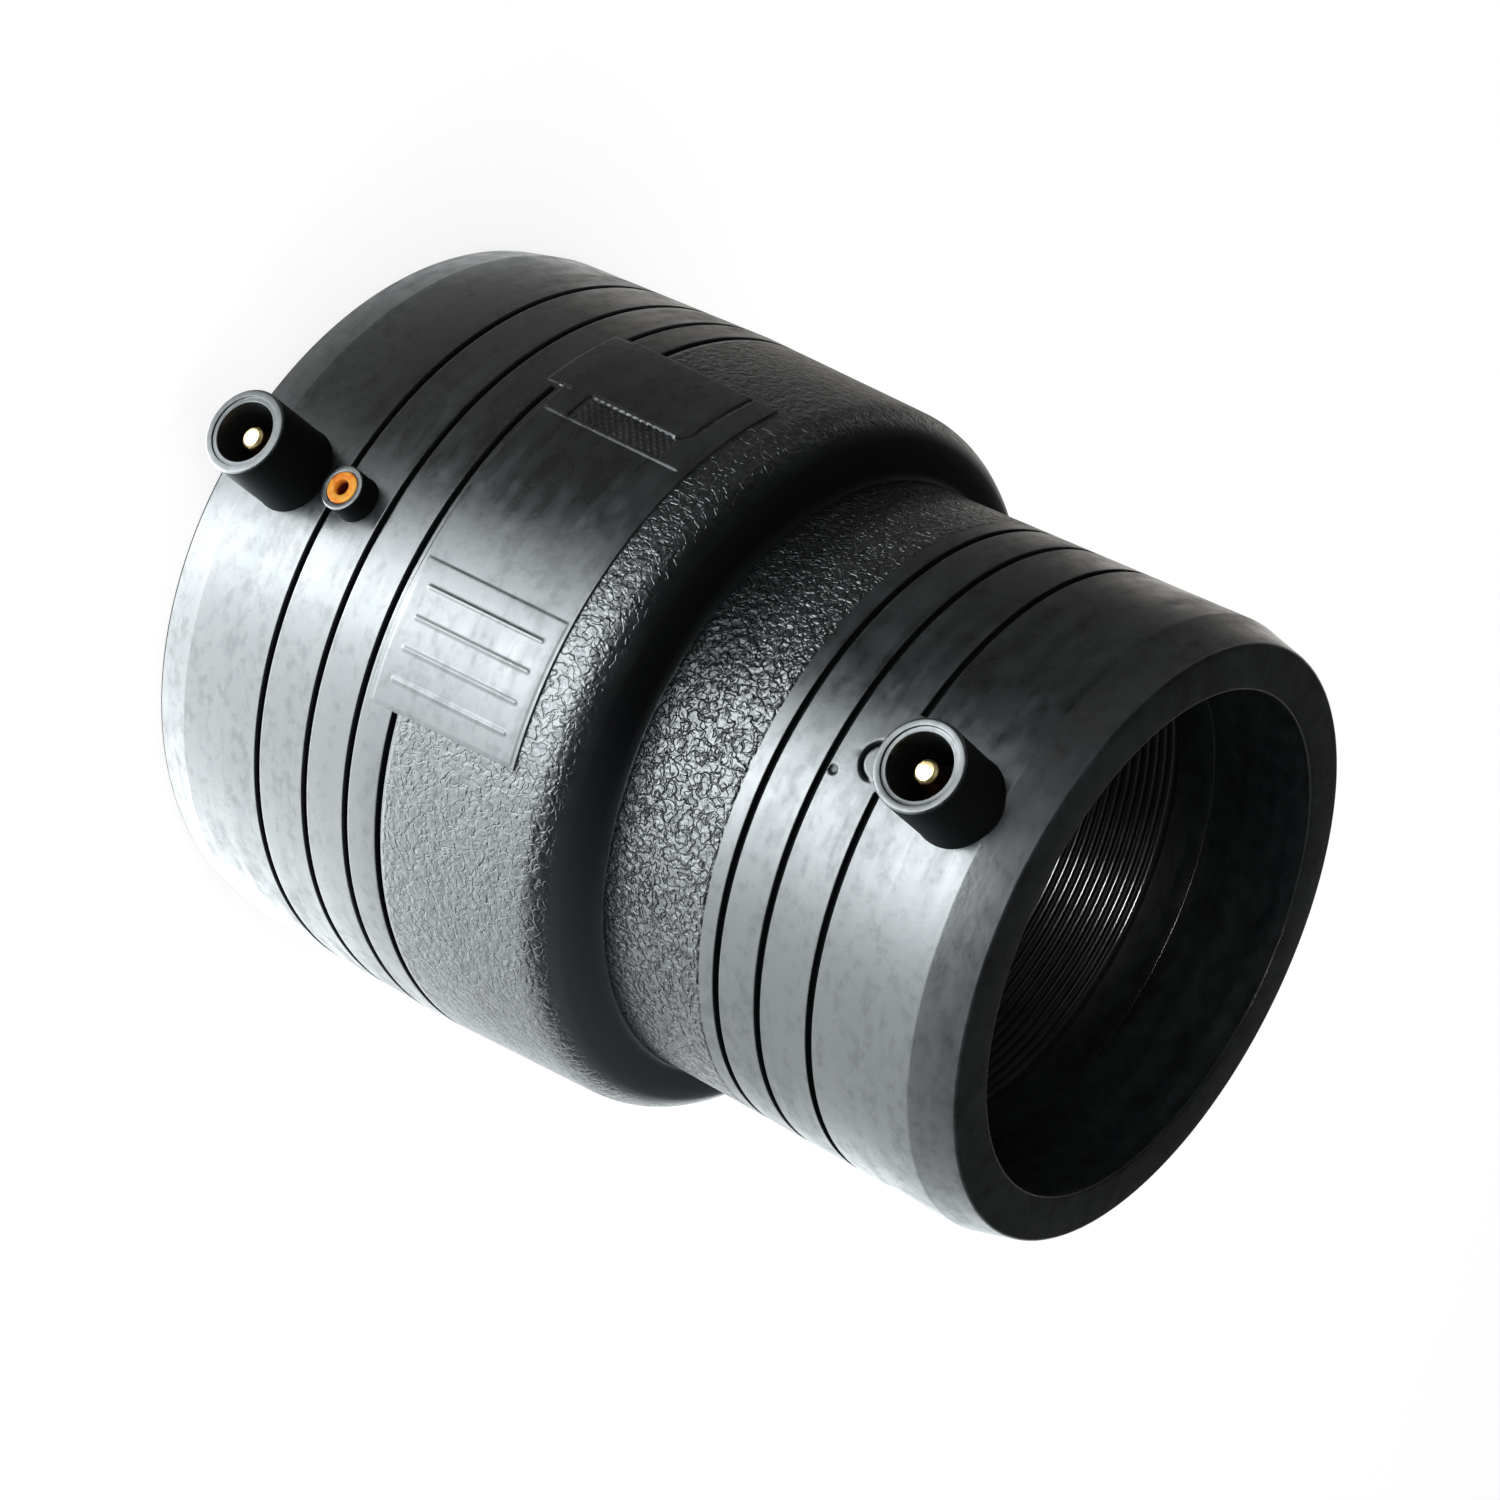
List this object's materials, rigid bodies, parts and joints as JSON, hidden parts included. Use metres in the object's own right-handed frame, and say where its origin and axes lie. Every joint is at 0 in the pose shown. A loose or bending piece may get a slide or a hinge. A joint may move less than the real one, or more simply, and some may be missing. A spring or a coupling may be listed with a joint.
{
  "type": "electrofusion reducer",
  "caption": "Black polyethylene reducer that fuses a large and a small plastic pipe, with wound heating wire, shrouded contact pins and an orange fusion indicator.",
  "frame": {"origin": "centre of the large socket's bore at its end face", "axes": "+Z along the bore axis towards the small socket, +X the way both terminals point"},
  "size_m": [0.1525, 0.137, 0.1693],
  "materials": {
    "moulding": "satin black polyethylene, grained between the ring lines and on the neck",
    "heating_wire": "black polyethylene coating on resistance wire",
    "pin": "bright turned brass",
    "indicator": "orange moulded plastic"
  },
  "bodies": {
    "root": {"body": "moulding", "heating_wire": "heating_wire", "terminal_pin_large": "pin", "terminal_pin_small": "pin", "fusion_indicator": "indicator"}
  },
  "joints": []
}
